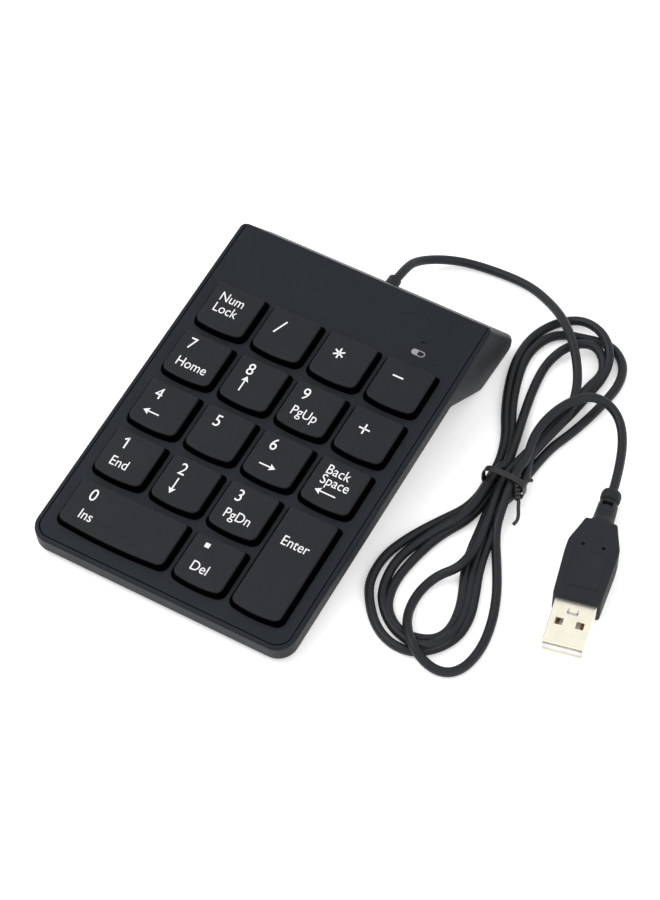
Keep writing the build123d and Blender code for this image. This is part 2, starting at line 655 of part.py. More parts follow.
def tie_band(gap):
    """Band round the waist, from the table over the strands."""
    left, front, width, depth = WAIST
    middle = Pos(left + width / 2, front + depth * TIE_AT, WAIST_H / 2)
    outer = middle * Box(width + 2 * TIE_T, TIE_W + 2 * gap, WAIST_H + 2 * TIE_T)
    outer = fillet(outer.edges().filter_by(Axis.Y), 2.5 + TIE_T)
    inner = middle * Box(width - 2 * gap, TIE_W + 2 * gap, WAIST_H - 2 * gap)
    inner = fillet(inner.edges().filter_by(Axis.Y), 2.5)
    above = Pos(left + width / 2, front + depth / 2, gap) * Box(3 * width, 3 * depth, 30, align=LOW)
    return laid() * ((outer - inner) & above)


def twist_tie():
    """Band, its twisted knot and the free tail."""
    left, front, width, depth = WAIST
    knot_x = left + width + TIE_T
    knot_y = front + depth * TIE_AT
    knot = Pos(knot_x + 0.2, knot_y, WAIST_H * 0.55) * Cylinder(1.3, 3.4)
    path = Spline((knot_x, knot_y, 5.0), (knot_x + 1.2, knot_y - 5.0, 3.2),
                  (knot_x - 0.4, knot_y - 11.0, 1.4))
    tail = sweep(Plane(origin=path @ 0, z_dir=path % 0) * Circle(0.5), path=path)
    return tie_band(0) + laid() * (knot + tail)


# ---------------------------------------------------------------- plug
def plug_grip():
    shoulder_x, shoulder_w = SHOULDER
    widest_x, widest_w = WIDEST
    half = [(shoulder_x, shoulder_w / 2), (widest_x, widest_w / 2),
            (widest_x + 4, widest_w / 2), (GRIP_END, END_W / 2)]
    plan = make_face(Polyline(*half, *[(x, -y) for x, y in reversed(half)], close=True))
    plan = fillet(plan.vertices().sort_by(Axis.X)[:2], 1.2)
    body = extrude(plan, GRIP_T / 2, both=True)
    body = fillet(body.faces().sort_by(Axis.Z)[-1].edges(), 1.0)
    body = fillet(body.faces().sort_by(Axis.Z)[0].edges(), 1.0)
    sleeve = Polyline((-BEAD_BACK, 0), (-BEAD_BACK, BEAD_D / 2 - 0.9),
                      (-BEAD_BACK + 0.9, BEAD_D / 2),
                      (BEAD_BACK - 0.6, BEAD_D / 2), (BEAD_BACK, NECK_WAIST_D / 2),
                      (BEAD_BACK + 1.2, NECK_WAIST_D / 2), (BEAD_BACK + 1.6, NECK_D / 2),
                      (shoulder_x + 2, NECK_D / 2), (shoulder_x + 2, 0), close=True)
    body += revolve(make_face(sleeve), Axis.X)
    pocket = Pos(TONGUE_START, 0, 0) * Box(SHELL_IN, *SHELL, align=AHEAD)
    return plug_frame() * (body - pocket)


def usb_shell():
    tube = Pos(TONGUE_START, 0, 0) * Box(SHELL_OUT + SHELL_IN, *SHELL, align=AHEAD)
    tube = fillet(tube.edges().filter_by(Axis.X), 0.5)
    inner = Pos(TONGUE_START, 0, 0) * Box(
        SHELL_OUT + SHELL_IN, SHELL[0] - 2 * SHELL_T, SHELL[1] - 2 * SHELL_T, align=AHEAD)
    tube -= inner
    for side in (-1, 1):
        station, off_axis, length, width = WINDOW
        window = Pos(GRIP_END + station, side * off_axis, 0)
        tube -= window * Box(length, width, SHELL[1] + 1)
    return plug_frame() * tube


def usb_tongue():
    """Insulator: a block at the root and the tongue along the shell's lower half."""
    clear = 0.02
    root = Pos(TONGUE_START, 0, 0) * Box(
        SHELL_IN + 2.5, SHELL[0] - 2 * SHELL_T - clear, SHELL[1] - 2 * SHELL_T - clear, align=AHEAD)
    low = -SHELL[1] / 2 + SHELL_T + clear / 2 + TONGUE_T / 2
    tongue = Pos(TONGUE_START, 0, low) * Box(
        SHELL_OUT + SHELL_IN - 0.6, SHELL[0] - 2 * SHELL_T - clear, TONGUE_T, align=AHEAD)
    return plug_frame() * (root + tongue)


def usb_contacts():
    """Four gold strips; the outer two reach nearer to the tip."""
    top = -SHELL[1] / 2 + SHELL_T + 0.01 + TONGUE_T
    strips = []
    for n, y in enumerate((-3.5, -1.0, 1.0, 3.5)):
        reach = 7.4 if n in (0, 3) else 6.4
        start = TONGUE_START + SHELL_IN + 2.5
        strip = Box(reach, 1.0, 0.15, align=(Align.MIN, Align.CENTER, Align.MIN))
        strips.append(plug_frame() * Pos(start, y, top) * strip)
    return Compound(children=strips)


# ---------------------------------------------------------------- build and write
BLOCK = case_block()
CASE = bottom_case(BLOCK)
reach = (Rot(TILT, 0, 0) * CASE).bounding_box()
Y_SHIFT = -(reach.min.Y + reach.max.Y) / 2
Z_SHIFT = -table_z(0) * cos(radians(TILT))

parts = {"bottom_case": seat(CASE), "top_cover": seat(top_cover(BLOCK)),
         "rubber_feet": seat(rubber_feet()), "case_screws": seat(case_screws()),
         "membrane_bottom": seat(membrane_sheet(FLOOR_Z, True)),
         "membrane_spacer": seat(membrane_sheet(FLOOR_Z + SHEET_T, False)),
         "membrane_top": seat(membrane_sheet(FLOOR_Z + 2 * SHEET_T, False)),
         "circuit_board": seat(circuit_board()), "clamp_bar": seat(clamp_bar()),
         "board_screws": seat(board_screws()), "controller_chip": seat(controller_chip()),
         "board_components": seat(board_components()), "indicator_lamp": seat(indicator_lamp()),
         "wire_connector": seat(wire_connector()), "lead_wires": seat(lead_wires()),
         "cable_grommet": seat(cable_grommet()), "cord_lead_in": lead_in(),
         "cord_hank": cord_hank(), "cord_lead_out": lead_out(), "twist_tie": twist_tie(),
         "plug_grip": plug_grip(), "usb_shell": usb_shell(), "usb_tongue": usb_tongue(),
         "usb_contacts": usb_contacts()}
for name, column, row, wide, tall in key_cells():
    x, y = cell_place(column, row, wide, tall)
    parts[name] = seat(Pos(x, y, 0) * keycap(wide, tall))
    parts[name.replace("key_", "dome_")] = seat(Pos(x, y, 0) * dome())

os.makedirs("parts", exist_ok=True)
for name, shape in parts.items():
    export_step(shape, f"parts/{name}.step")
print(len(parts), "parts; y shift", round(Y_SHIFT, 3), "z shift", round(Z_SHIFT, 3))
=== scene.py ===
# %% [markdown]
# A wired numeric keypad lies on a pale table, with its cord folded into a tied hank beside it.
# The CAD model fixes every size and every moving part. This lesson gives that model its looks:
# moulded plastic, printed legends, a limp cord, a twist tie and a plug. Nothing of the CAD is
# moved. A CAD piece either gets a finish, or is hidden and replaced by a finer one.

# %% Load the fixed frame
from math import copysign, cos, pi, radians, sin

import bmesh
import bpy
from mathutils import Matrix, Vector


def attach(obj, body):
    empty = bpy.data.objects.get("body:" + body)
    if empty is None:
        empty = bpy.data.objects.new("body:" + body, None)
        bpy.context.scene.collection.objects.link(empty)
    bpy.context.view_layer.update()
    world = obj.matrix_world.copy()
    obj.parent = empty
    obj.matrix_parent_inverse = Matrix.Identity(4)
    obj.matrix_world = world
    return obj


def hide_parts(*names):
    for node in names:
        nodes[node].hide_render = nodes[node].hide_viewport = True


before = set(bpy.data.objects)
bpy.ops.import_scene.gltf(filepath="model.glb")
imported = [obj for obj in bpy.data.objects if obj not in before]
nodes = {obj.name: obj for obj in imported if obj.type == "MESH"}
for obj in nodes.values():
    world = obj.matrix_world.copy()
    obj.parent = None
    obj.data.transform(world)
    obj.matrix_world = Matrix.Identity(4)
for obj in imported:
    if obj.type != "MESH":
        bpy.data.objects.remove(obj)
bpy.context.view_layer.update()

MM = 0.001

# %% [markdown]
# The camera stands where a person would, in front of the keypad and to its right, looking down.
# A place, a point on the table to aim at and a lens are easier to read and to mend than three
# angles. A small roll is added last, about the camera's own axis.

# %% Camera
CAMERA_PLACE = Vector((0.28494, -0.47589, 0.69666))
AIM = Vector((0.01421, 0.00625, 0.0))
ROLL = radians(0.64)

camera_data = bpy.data.cameras.new("studio_camera")
camera_data.lens = 121.73
camera_data.clip_start = 0.01
camera_data.clip_end = 20
camera = bpy.data.objects.new("studio_camera", camera_data)
turn = (AIM - CAMERA_PLACE).to_track_quat("-Z", "Y").to_matrix() @ Matrix.Rotation(ROLL, 3, "Z")
camera.matrix_world = Matrix.Translation(CAMERA_PLACE) @ turn.to_4x4()
bpy.context.scene.collection.objects.link(camera)
bpy.context.scene.camera = camera
print("camera to table", round((AIM - CAMERA_PLACE).length, 3), "m")

# %% [markdown]
# A finish is a material, and its maths reads best as an expression. `Flow` wraps one output
# socket, so that `1 - mask` or `0.4 + grain * 0.1` adds the Math nodes by itself. `Finish` makes
# the material and has one method for every other node. Its settings are set before its sockets,
# because a setting such as an operation can change which sockets there are.

# %% Shader helpers
class Flow:
    """One output socket of a finish's node tree."""

    def __init__(self, finish, socket):
        self.finish = finish
        self.socket = socket

    def math(self, operation, first, second):
        return self.finish.node("ShaderNodeMath", {"operation": operation}, {0: first, 1: second})

    def __add__(self, other):
        return self.math("ADD", self, other)

    def __sub__(self, other):
        return self.math("SUBTRACT", self, other)

    def __rsub__(self, other):
        return self.math("SUBTRACT", other, self)

    def __mul__(self, other):
        return self.math("MULTIPLY", self, other)

    __radd__ = __add__
    __rmul__ = __mul__


class Finish:
    """A material built round one Principled shader."""

    def __init__(self, name, **constants):
        self.material = bpy.data.materials.new(name)
        self.material.use_nodes = True
        self.tree = self.material.node_tree
        self.shader = self.tree.nodes["Principled BSDF"]
        for socket, value in constants.items():
            self.shader.inputs[socket.replace("_", " ")].default_value = value
        self.place = self.node("ShaderNodeTexCoord", out="Object")

    def node(self, kind, settings=None, sockets=None, out=0):
        made = self.tree.nodes.new(kind)
        for setting, value in (settings or {}).items():
            setattr(made, setting, value)
        for socket, value in (sockets or {}).items():
            self.feed(made.inputs[socket], value)
        return Flow(self, made.outputs[out])

    def feed(self, socket, value):
        if isinstance(value, Flow):
            self.tree.links.new(value.socket, socket)
        else:
            socket.default_value = value

    def noise(self, size, detail=2.0, roughness=0.5, place=None):
        """Soft random pattern with lumps of about that size, in metres."""
        return self.node("ShaderNodeTexNoise", {}, {
            "Vector": place or self.place, "Scale": 1 / size, "Detail": detail,
            "Roughness": roughness})

    def step(self, value, low, high):
        """0 below low, 1 above high, smooth between."""
        return self.node("ShaderNodeMapRange", {"interpolation_type": "SMOOTHSTEP"}, {
            "Value": value, "From Min": low, "From Max": high})

    def mix(self, share, first, second):
        """Colour between two colours."""
        return self.node("ShaderNodeMix", {"data_type": "RGBA"}, {
            "Factor": share, 6: first, 7: second}, out=2)

    def bump(self, height, distance, strength):
        """Normal that makes a height look embossed, to a depth in metres."""
        return self.node("ShaderNodeBump", {}, {
            "Height": height, "Distance": distance, "Strength": strength})

    def wear(self, **flows):
        """Link flows to the shader's sockets; a socket's name has _ for a space."""
        for socket, flow in flows.items():
            self.feed(self.shader.inputs[socket.replace("_", " ")], flow)
        return self.material


def grey(value, warmth=0.0):
    """Linear grey, a little warmer or cooler."""
    return (value * (1 + warmth), value, value * (1 - warmth), 1)


# %% [markdown]
# The cord is one piece, 1.2 m of limp 2.8 mm lead. It leaves the back wall level with the
# table, drops, and runs into a hank of four lower and three upper loops. A tie pinches the hank
# in the middle. A NURBS curve of order 3 stays smooth on few points, so each loop is a dozen or
# so points, given in millimetres. No two loops are alike, because real ones aren't.

# %% Route of the cord
FROM_CASE = [(2.5, 54.5, 10.0), (2.5, 71.0, 10.0), (3.0, 80.4, 5.6), (11.4, 88.6, 2.4),
    (23.4, 91.2, 1.6), (36.0, 90.6, 2.4), (45.4, 85.4, 5.0), (53.0, 79.6, 7.2), (60.4, 72.0, 7.0),
    (66.0, 63.6, 5.4), (68.8, 56.0, 4.4), (69.6, 48.5, 4.2), (68.2, 39.6, 4.1), (66.6, 30.8, 4.0),
    (70.8, 20.6, 3.9)]
LOWER_LOOP_1 = [(67.3, 9.7, 3.5), (69.9, 3.1, 2.1), (71.5, -6.2, 1.4), (73.4, -12.9, 1.4),
    (75.8, -18.9, 1.4), (78.3, -26.2, 1.4), (78.8, -33.1, 1.4), (77.0, -38.6, 1.4),
    (73.4, -43.0, 1.4), (69.0, -45.8, 1.4), (62.6, -45.7, 1.4), (56.2, -42.2, 1.4),
    (50.8, -35.7, 1.4), (47.6, -29.6, 1.4), (47.0, -20.3, 1.4), (49.8, -11.5, 1.4),
    (54.2, -2.6, 1.4), (60.5, 8.3, 1.4), (59.9, 21.6, 1.4)]
UPPER_LOOP_1 = [(59.5, 26.8, 1.4), (57.0, 35.1, 1.4), (52.0, 44.1, 1.4), (47.7, 55.2, 1.4),
    (45.7, 63.6, 1.4), (45.5, 71.8, 1.4), (47.6, 78.7, 1.4), (51.3, 83.9, 1.5), (56.5, 86.1, 2.5),
    (62.8, 83.9, 4.4), (67.9, 79.8, 4.9), (70.7, 75.6, 2.9), (71.5, 69.5, 1.7), (70.6, 62.2, 1.5),
    (69.8, 54.2, 1.5), (68.1, 44.9, 1.5), (66.6, 35.1, 1.5), (65.4, 20.0, 1.5)]
LOWER_LOOP_2 = [(64.8, 9.9, 1.5), (66.3, 2.3, 1.5), (67.5, -6.1, 1.5), (69.7, -14.1, 1.5),
    (72.2, -19.5, 1.5), (74.6, -25.8, 1.5), (75.7, -33.3, 1.6), (73.9, -38.2, 1.6),
    (69.6, -40.7, 1.6), (64.2, -41.2, 1.6), (59.0, -38.3, 1.4), (55.5, -33.4, 1.4),
    (54.0, -25.8, 1.4), (55.0, -16.0, 1.4), (57.4, -5.6, 1.4), (62.7, 5.0, 1.4),
    (62.9, 22.2, 1.4)]
UPPER_LOOP_2 = [(61.6, 26.5, 1.4), (58.4, 36.1, 1.4), (53.4, 45.7, 1.4), (50.1, 54.9, 1.4),
    (48.0, 63.3, 1.4), (48.1, 70.0, 1.4), (50.1, 75.9, 1.4), (53.9, 79.3, 1.4), (59.3, 80.6, 1.4),
    (64.4, 82.0, 1.4), (69.6, 81.6, 1.4), (74.7, 77.2, 1.4), (76.8, 70.1, 1.4), (76.1, 62.4, 1.4),
    (75.0, 55.2, 1.4), (72.9, 46.1, 1.4), (69.8, 37.2, 1.4), (68.5, 19.4, 1.5)]
LOWER_LOOP_3 = [(65.8, 11.0, 1.5), (68.2, 2.4, 1.5), (69.7, -6.2, 1.5), (71.7, -13.7, 1.5),
    (74.1, -19.2, 1.5), (76.4, -26.1, 1.6), (77.2, -33.4, 2.0), (76.1, -40.0, 4.0),
    (72.2, -43.9, 3.6), (65.7, -42.6, 1.7), (59.9, -40.1, 1.4), (54.2, -34.6, 1.4),
    (51.6, -28.4, 1.4), (50.8, -20.2, 1.4), (52.6, -12.7, 1.4), (56.6, -4.2, 2.6),
    (61.9, 3.5, 3.9), (60.9, 22.9, 3.9)]
UPPER_LOOP_3 = [(63.1, 23.9, 4.1), (60.5, 34.7, 2.9), (57.3, 46.3, 1.4), (55.2, 56.5, 1.5),
    (54.2, 66.3, 1.4), (56.6, 73.2, 2.9), (60.6, 76.9, 3.9), (65.2, 77.6, 4.1), (69.0, 75.0, 2.6),
    (70.7, 70.6, 1.4), (69.6, 63.5, 2.6), (69.2, 53.4, 4.0), (67.3, 41.6, 4.0), (65.8, 29.7, 4.3),
    (63.8, 21.2, 4.0)]
LOWER_LOOP_4 = [(66.6, 7.8, 4.0), (68.1, -0.8, 4.2), (69.4, -9.4, 4.7), (68.3, -15.9, 4.7),
    (63.8, -19.2, 2.2), (61.7, -25.9, 1.5), (62.3, -33.6, 1.7), (65.6, -40.7, 4.5),
    (70.2, -45.7, 5.0), (75.7, -47.7, 2.4), (81.3, -47.2, 1.4), (85.1, -43.1, 1.4),
    (86.2, -34.7, 1.4), (84.5, -25.2, 1.4), (81.1, -16.0, 1.4), (76.5, -7.4, 1.5),
    (71.8, 0.5, 1.7), (69.7, 5.7, 4.2), (66.9, 22.4, 6.8)]
TO_PLUG = [(67.6, 27.5, 6.5), (65.4, 36.0, 6.6), (66.0, 44.8, 7.0), (69.2, 52.4, 7.8),
    (74.4, 57.8, 7.6), (81.6, 57.4, 5.6), (87.6, 50.6, 4.4), (92.4, 37.2, 4.2), (93.8, 30.8, 4.2)]
TURNS = [LOWER_LOOP_1, UPPER_LOOP_1, LOWER_LOOP_2, UPPER_LOOP_2, LOWER_LOOP_3, UPPER_LOOP_3,
         LOWER_LOOP_4]
CORD_D = 2.8
cord_points = FROM_CASE + sum(TURNS, []) + TO_PLUG
print("cord has", len(cord_points), "control points")


# %% [markdown]
# The curve gets its thickness from a round bevel. Order and end settings come after the points,
# because Blender clamps the order of a spline that is still too short.

# %% Cord
def spline_curve(name, points, radius, smooth=5):
    """NURBS curve through the middle of a run of points in mm, as a round bar."""
    data = bpy.data.curves.new(name, "CURVE")
    data.dimensions = "3D"
    data.bevel_depth = radius * MM
    data.bevel_resolution = smooth
    data.resolution_u = 6
    data.use_fill_caps = True
    spline = data.splines.new("NURBS")
    spline.points.add(len(points) - 1)
    for point, (x, y, z) in zip(spline.points, points):
        point.co = (x * MM, y * MM, z * MM, 1)
    spline.order_u = 3
    spline.use_endpoint_u = True
    made = bpy.data.objects.new(name, data)
    bpy.context.scene.collection.objects.link(made)
    return made


def run_length(points):
    """Length in metres of the NURBS curve itself."""
    bare = spline_curve("measure", points, 0)
    bpy.context.view_layer.update()
    graph = bpy.context.evaluated_depsgraph_get()
    mesh = bpy.data.meshes.new_from_object(bare.evaluated_get(graph))
    spots = [v.co.copy() for v in mesh.vertices]
    bpy.data.objects.remove(bare)
    return sum((b - a).length for a, b in zip(spots, spots[1:]))


cord = spline_curve("cord", cord_points, CORD_D / 2, 6)
cord_length = run_length(cord_points)
print("cord length", round(cord_length, 3), "m")

# %% [markdown]
# Soft black PVC is not quite smooth. It has faint flow lines, a few dull patches where it was
# handled, and specks of dust. The patches change the roughness, which shows in the reflections.

# %% Cord finish
jacket = Finish("cord_jacket", Specular_IOR_Level=0.36, Specular_Tint=(0.86, 0.90, 1.0, 1.0))
patch = jacket.noise(6 * MM, 3)
fine = jacket.noise(0.35 * MM, 4, 0.6)
specks = jacket.step(jacket.noise(0.5 * MM, 2), 0.71, 0.76)
jacket_colour = jacket.mix(patch, grey(0.0035, -0.12), grey(0.0075, -0.10))
jacket_colour = jacket.mix(specks * 0.35, jacket_colour, grey(0.16))
CORD_FINISH = jacket.wear(
    Base_Color=jacket_colour, Roughness=0.40 + patch * 0.12 + fine * 0.05,
    Normal=jacket.bump(fine, 0.03 * MM, 0.7))
cord.data.materials.append(CORD_FINISH)
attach(cord, "housing")
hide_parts("cord_lead_in", "cord_hank", "cord_lead_out")

# %% [markdown]
# Meshes are shaped in a bmesh and turned into an object by one helper. It welds doubles, points
# the faces outwards, and shades them smooth up to a crease angle. The piece stays at the origin, with
# its place in its mesh, so that patterns on Object coordinates stay put.

# %% Mesh helper
def finished(name, shape, finish, body, crease=35, place=None, outward=True):
    """Mesh object from a bmesh, riding on a body. Flat prints keep the way they face."""
    bmesh.ops.remove_doubles(shape, verts=shape.verts, dist=0.001 * MM)
    if outward:
        bmesh.ops.recalc_face_normals(shape, faces=shape.faces)
    if place:
        bmesh.ops.transform(shape, matrix=place, verts=shape.verts)
    for edge in shape.edges:
        sharp = len(edge.link_faces) != 2 or edge.calc_face_angle(pi) > radians(crease)
        edge.smooth = not sharp
    for face in shape.faces:
        face.smooth = True
    mesh = bpy.data.meshes.new(name)
    shape.to_mesh(mesh)
    shape.free()
    made = bpy.data.objects.new(name, mesh)
    bpy.context.scene.collection.objects.link(made)
    mesh.materials.append(finish)
    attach(made, body)
    print(name, len(mesh.polygons), "faces")
    return made


def turned(profile, steps=48):
    """Shape spun round X from (station, radius) pairs in mm."""
    shape = bmesh.new()
    spots = [shape.verts.new((x * MM, 0, r * MM)) for x, r in profile]
    edges = [shape.edges.new(pair) for pair in zip(spots, spots[1:])]
    bmesh.ops.spin(shape, geom=spots + edges, cent=(0, 0, 0), axis=(1, 0, 0), angle=2 * pi,
                   steps=steps, use_merge=True)
    return shape


def slab(outline, low, high):
    """Upright plate from a flat outline, in mm."""
    shape = bmesh.new()
    base = shape.faces.new([shape.verts.new((x * MM, y * MM, low * MM)) for x, y in outline])
    grown = bmesh.ops.extrude_face_region(shape, geom=[base])["geom"]
    rise = [part for part in grown if isinstance(part, bmesh.types.BMVert)]
    bmesh.ops.translate(shape, vec=(0, 0, (high - low) * MM), verts=rise)
    return shape


def eased(shape, edges, width, segments=3):
    """Round over some edges."""
    bmesh.ops.bevel(shape, geom=edges, offset=width * MM, affect="EDGES", segments=segments,
                    profile=0.5, material=-1)


# %% [markdown]
# The plug's grip is a flat moulding that widens to the shoulders of the thumb hold and then
# narrows to the shell. Its outline is drawn with small rounds at the tail and the shoulders, so
# only its two rims are left to bevel once it is extruded.

# %% Plug grip
BEAD_PLACE = Vector((94.3, 28.5, 4.2)) * MM
PLUG_HEADING = radians(-77.5)
PLUG_TURN = Matrix.Translation(BEAD_PLACE) @ Matrix.Rotation(PLUG_HEADING, 4, "Z")
GRIP_END = 40.2
GRIP_HALF_T = 4.2


def rounded(corners, reach=0.9, steps=4):
    """Outline with each corner turned into a short smooth curve."""
    drawn = []
    for n, corner in enumerate(corners):
        here = Vector(corner)
        back, ahead = Vector(corners[n - 1]) - here, Vector(corners[(n + 1) % len(corners)]) - here
        enter = here + back.normalized() * min(reach, back.length * 0.45)
        leave = here + ahead.normalized() * min(reach, ahead.length * 0.45)
        for k in range(steps + 1):
            t = k / steps
            drawn.append(tuple(enter * (1 - t) ** 2 + here * 2 * t * (1 - t) + leave * t ** 2))
    return drawn


half = [(11.6, 4.7), (14.6, 5.6), (20.2, 7.5), (24.0, 7.6), (GRIP_END, 6.9)]
outline = rounded(half + [(x, -y) for x, y in reversed(half)])
grip_shape = slab(outline, -GRIP_HALF_T, GRIP_HALF_T)
rims = [e for e in grip_shape.edges if abs(e.verts[0].co.z - e.verts[1].co.z) < 0.01 * MM]
eased(grip_shape, rims, 0.7)
print("grip outline has", len(outline), "points")

# %% [markdown]
# The thumb hold is a shallow panel on the grip's upper side, with a thin rim round it. It is a
# second, thinner slab that stands a tenth of a millimetre proud. One inset of its broad faces
# leaves the rim, and a second one with a depth sinks the middle.

# %% Panel of the thumb hold
panel_half = [(23.6, 5.3), (36.4, 4.9)]
frame_shape = slab(rounded(panel_half + [(x, -y) for x, y in reversed(panel_half)], 0.8),
                   GRIP_HALF_T - 0.3, GRIP_HALF_T + 0.10)
broad = [f for f in frame_shape.faces if len(f.verts) > 4]
bmesh.ops.inset_region(frame_shape, faces=broad, thickness=0.35 * MM)
bmesh.ops.inset_region(frame_shape, faces=broad, thickness=0.12 * MM, depth=-0.14 * MM)

plastic = Finish("plug_plastic", Specular_IOR_Level=0.18, Specular_Tint=(0.86, 0.90, 1.0, 1.0))
cloud = plastic.noise(9 * MM, 3)
pores = plastic.noise(0.22 * MM, 3, 0.6)
plug_colour = plastic.mix(cloud, grey(0.0125, -0.12), grey(0.0175, -0.10))
PLUG_FINISH = plastic.wear(
    Base_Color=plug_colour, Roughness=0.42 + cloud * 0.12 + pores * 0.06,
    Normal=plastic.bump(pores, 0.035 * MM, 0.8))
plug_body = finished("plug_body", grip_shape, PLUG_FINISH, "housing", 30, PLUG_TURN)
panel_piece = finished("plug_panel", frame_shape, PLUG_FINISH, "housing", 30,
                       PLUG_TURN)

# %% [markdown]
# The strain relief is a turned part: a barrel-shaped bead with a groove behind it, a neck and a
# flare into the grip. It is drawn as half a section and spun round the plug's axis.

# %% Strain relief
relief = [(-2.0, 0.0), (-2.0, 1.8), (-1.9, 2.4), (-1.55, 2.8), (-0.9, 3.0), (0.7, 3.0), (1.3, 2.85),
          (1.6, 2.5), (1.75, 2.2), (2.2, 2.1), (2.5, 2.3), (2.65, 2.75), (3.1, 2.95), (6.0, 3.05),
          (8.4, 3.15), (9.6, 3.4), (10.4, 3.9), (12.6, 4.0), (12.6, 0.0)]
relief_piece = finished("strain_relief", turned(relief), PLUG_FINISH, "housing",
                        50, PLUG_TURN)

# %% [markdown]
# Two ejector dots sit side by side on the grip, and the neck has a slot that lets it flex. Both
# are drawn as near-black discs and a near-black bar, barely proud of the plastic: painted shade
# that stands in for the shade inside the sunk dots and the slot. Along the flanks run thin ribs
# for the fingers. They are small bevelled bars, repeated by a loop.

# %% Dots and ribs on the plug
# Painted shade: near black and matt, with no reflection, for the shade inside the dots and the slot.
pit_shade = Finish("plug_pit_painted_shade", Roughness=0.9, Specular_IOR_Level=0.0)
PAINTED_PIT_SHADE = pit_shade.wear(Base_Color=pit_shade.mix(pit_shade.noise(0.3 * MM), grey(0.002), grey(0.006)))
dots = bmesh.new()
for side in (-1, 1):
    made = bmesh.ops.create_cone(dots, cap_ends=True, segments=20, radius1=0.52 * MM,
                                 radius2=0.52 * MM, depth=0.1 * MM)["verts"]
    bmesh.ops.translate(dots, vec=Vector((21.3, side * 3.0, GRIP_HALF_T - 0.035)) * MM, verts=made)
groove = bmesh.ops.create_cube(dots, size=1)["verts"]
bmesh.ops.transform(dots, verts=groove, matrix=Matrix.Translation(Vector((4.2, 0, 2.83)) * MM)
                    @ Matrix.Diagonal((1.1 * MM, 3.0 * MM, 0.4 * MM, 1)))
dots_piece = finished("plug_dot_and_slot_shade", dots, PAINTED_PIT_SHADE, "housing", 30, PLUG_TURN)

ribs = bmesh.new()
for side in (-1, 1):
    for n in range(5):
        made = bmesh.ops.create_cube(ribs, size=1)["verts"]
        size = Matrix.Diagonal((0.7 * MM, 0.5 * MM, 4.6 * MM, 1))
        spot = Matrix.Translation(Vector((24.5 + 2.2 * n, side * (7.45 - 0.11 * n), 0)) * MM)
        bmesh.ops.transform(ribs, matrix=spot @ size, verts=made)
eased(ribs, ribs.edges[:], 0.15, 2)
ribs_piece = finished("plug_ribs", ribs, PLUG_FINISH, "housing", 30, PLUG_TURN)
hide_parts("plug_grip")

# %% [markdown]
# The twist tie is a flat plastic strip with a wire inside. It goes round the waist of the hank,
# is twisted beside it, and its end hangs down in a hook. A ring of points is drawn round the
# strands, extruded along the cord, and given its thickness by solidify. An ellipse with a power
# below one gives the ring its flattened sides.

# %% Band of the tie
WAIST_X = (58.8, 71.6)
WAIST_TOP = 8.2
TIE_Y = 18.0
BAND_W = 2.0
BAND_FOOT = 0.5

RING_POINTS = 64
STRIPS = 4


def squarish(value):
    """Sine or cosine pushed towards 1 and -1."""
    return copysign(abs(value) ** 0.6, value)


ring = bmesh.new()
middle_x = sum(WAIST_X) / 2
half_w = (WAIST_X[1] - WAIST_X[0]) / 2 + 0.1
middle_z = (WAIST_TOP + BAND_FOOT) / 2
half_t = (WAIST_TOP - BAND_FOOT) / 2
angles = [2 * pi * n / RING_POINTS for n in range(RING_POINTS)]
spots = [ring.verts.new(((middle_x + half_w * squarish(cos(a))) * MM, (TIE_Y - BAND_W / 2) * MM,
                         (middle_z + half_t * squarish(sin(a))) * MM)) for a in angles]
edges = [ring.edges.new((spots[n - 1], spots[n])) for n in range(RING_POINTS)]
for n in range(STRIPS):
    grown = bmesh.ops.extrude_edge_only(ring, edges=edges)["geom"]
    moved = [part for part in grown if isinstance(part, bmesh.types.BMVert)]
    edges = [part for part in grown if isinstance(part, bmesh.types.BMEdge)
             and all(v in moved for v in part.verts)]
    bmesh.ops.translate(ring, vec=(0, BAND_W / STRIPS * MM, 0), verts=moved)
bmesh.ops.recalc_face_normals(ring, faces=ring.faces)
bmesh.ops.solidify(ring, geom=ring.faces[:], thickness=-0.35 * MM)

tie = Finish("tie_plastic", Specular_IOR_Level=0.4)
crumple = tie.noise(0.9 * MM, 3)
TIE_FINISH = tie.wear(
    Base_Color=tie.mix(crumple, grey(0.006), grey(0.014)),
    Roughness=0.28 + crumple * 0.2, Normal=tie.bump(crumple, 0.12 * MM, 0.8))
tie_band = finished("tie_band", ring, TIE_FINISH, "housing", 40)
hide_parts("twist_tie")

# %% [markdown]
# Two strands wound round each other make the knot. Their points come from a short helix. One
# strand starts in a nub above the knot, and the other goes on into the hooked tail.

# %% Knot and tail of the tie
KNOT = Vector((69.6, 17.4, 6.8))
NUB = [(72.3, 21.6, 6.0), (71.6, 20.2, 6.9), (70.6, 18.8, 7.2)]
TAIL = [(72.9, 12.2, 4.2), (74.0, 10.4, 3.2), (74.4, 8.8, 2.4), (73.8, 7.5, 2.0)]
for side in (0, 1):
    coil = []
    for n in range(13):
        angle = 2 * pi * n / 6 + pi * side
        along = n / 12
        coil.append((KNOT.x + 2.2 * along + 0.5 * cos(angle), KNOT.y - 3.8 * along,
                     KNOT.z - 1.6 * along + 0.5 * sin(angle)))
    coil = NUB + coil if side else coil + TAIL
    strand = spline_curve(f"tie_end_{side}", coil, 0.55, 3)
    strand.data.materials.append(TIE_FINISH)
    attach(strand, "housing")

# %% [markdown]
# The case and the keys keep their CAD meshes and get finishes. Matt moulded ABS is never one
# colour: its spark-eroded grain is a fine bump, wide soft patches shift its tone and gloss a
# little, and dust and handling leave it lighter in places. One helper makes that plastic, and
# each part then asks for its own grain.

# %% Moulded plastic
TILT = radians(8.0)
Y_SHIFT = -67.78
Z_SHIFT = 7.477


def height_over_panel(finish):
    """How high a point is, square to the tipped panel, in metres."""
    axes = finish.node("ShaderNodeSeparateXYZ", {}, {0: finish.place}).socket.node
    return Flow(finish, axes.outputs["Z"]) * cos(TILT) - Flow(finish, axes.outputs["Y"]) * sin(TILT)


